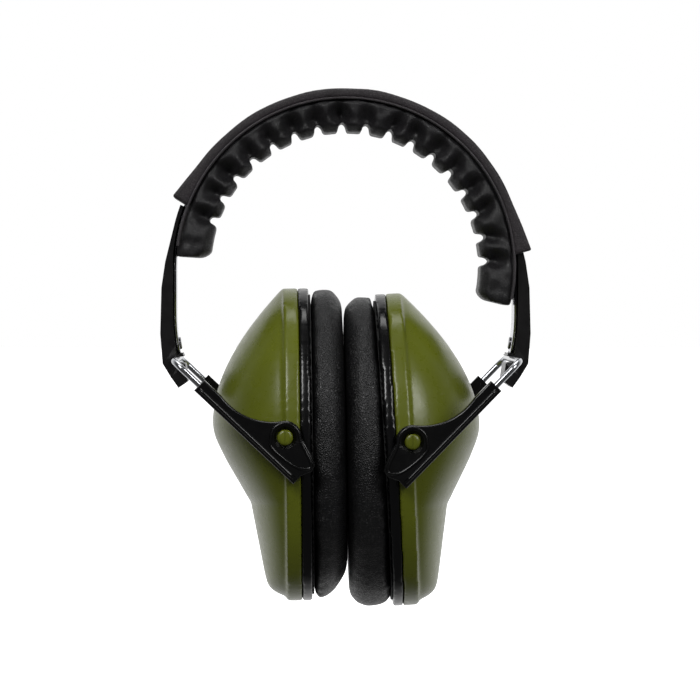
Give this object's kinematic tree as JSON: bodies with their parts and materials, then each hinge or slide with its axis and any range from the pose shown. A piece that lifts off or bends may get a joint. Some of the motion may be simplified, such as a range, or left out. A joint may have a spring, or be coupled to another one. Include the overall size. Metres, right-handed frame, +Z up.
{
  "type": "folding earmuffs",
  "caption": "Folding passive earmuffs: sprung padded headband, wire forks with sliding arms and deep padded ear cups.",
  "frame": {"origin": "middle of the head pad's inner face, where it rests on the crown", "axes": "+Z up out of the wearer's head, X across the head from ear to ear, -Y the front"},
  "size_m": [0.1275, 0.0848, 0.1786],
  "materials": {
    "steel_strip": "bright drawn steel",
    "sleeve_leatherette": "satin grained leatherette",
    "pad_leatherette": "satin grained leatherette",
    "rail_plastic": "semi-gloss moulded",
    "rivet_steel": "bright",
    "wire_steel": "bright drawn wire",
    "arm_plastic": "semi-gloss moulded",
    "shell_plastic": "semi-gloss olive green",
    "plate_plastic": "glossy black",
    "foam": "open-cell foam",
    "ring_plastic": "matt black",
    "cushion_leatherette": "satin fine-grained leatherette"
  },
  "bodies": {
    "headband": {"spring_strip": "steel_strip", "head_sleeve": "sleeve_leatherette", "head_pad": "pad_leatherette"},
    "left_band": {"left_side_rail": "rail_plastic", "left_band_rivet": "rivet_steel"},
    "left_fork": {"left_wire_fork": "wire_steel"},
    "left_arms": {"left_front_arm": "arm_plastic", "left_rear_arm": "arm_plastic"},
    "left_cup": {"left_cup_shell": "shell_plastic", "left_base_plate": "plate_plastic", "left_acoustic_foam": "foam", "left_cushion_ring": "ring_plastic", "left_cushion": "cushion_leatherette"},
    "right_band": {"right_side_rail": "rail_plastic", "right_band_rivet": "rivet_steel"},
    "right_fork": {"right_wire_fork": "wire_steel"},
    "right_arms": {"right_front_arm": "arm_plastic", "right_rear_arm": "arm_plastic"},
    "right_cup": {"right_cup_shell": "shell_plastic", "right_base_plate": "plate_plastic", "right_acoustic_foam": "foam", "right_cushion_ring": "ring_plastic", "right_cushion": "cushion_leatherette"}
  },
  "joints": [
    {"name": "left_band_flex", "type": "hinge", "parent": "headband", "child": "left_band", "pos_m": [-0.034, 0, -0.0055], "axis": [0, 1, 0], "range_deg": [0, 48], "stiffness_Nm_per_rad": 2.3, "deforming": ["spring_strip", "head_sleeve", "head_pad", "left_cushion"]},
    {"name": "left_fold", "type": "hinge", "parent": "left_band", "child": "left_fork", "pos_m": [-0.058, 0, -0.0783], "axis": [0, -1, 0], "range_deg": [0, 62], "deforming": ["left_cushion"]},
    {"name": "left_adjust", "type": "slide", "parent": "left_fork", "child": "left_arms", "axis": [0.7266, 0, -0.6871], "range_m": [-0.008, 0.022], "deforming": ["left_cushion"]},
    {"name": "left_cup_pivot", "type": "hinge", "parent": "left_arms", "child": "left_cup", "pos_m": [-0.02086, 0, -0.10379], "axis": [0, -1, 0], "range_deg": [-63, 1]},
    {"name": "right_band_flex", "type": "hinge", "parent": "headband", "child": "right_band", "pos_m": [0.034, 0, -0.0055], "axis": [0, -1, 0], "range_deg": [0, 48], "stiffness_Nm_per_rad": 2.3, "deforming": ["spring_strip", "head_sleeve", "head_pad", "right_cushion"]},
    {"name": "right_fold", "type": "hinge", "parent": "right_band", "child": "right_fork", "pos_m": [0.058, 0, -0.0783], "axis": [0, 1, 0], "range_deg": [0, 62], "deforming": ["right_cushion"]},
    {"name": "right_adjust", "type": "slide", "parent": "right_fork", "child": "right_arms", "axis": [-0.6984, 0, -0.7157], "range_m": [-0.008, 0.022], "deforming": ["right_cushion"]},
    {"name": "right_cup_pivot", "type": "hinge", "parent": "right_arms", "child": "right_cup", "pos_m": [0.02191, 0, -0.10526], "axis": [0, 1, 0], "range_deg": [-63, 1]}
  ],
  "couplings": [
    {"joint": "left_cup_pivot", "follows": "left_fold", "ratio": -1},
    {"joint": "right_cup_pivot", "follows": "right_fold", "ratio": -1}
  ]
}
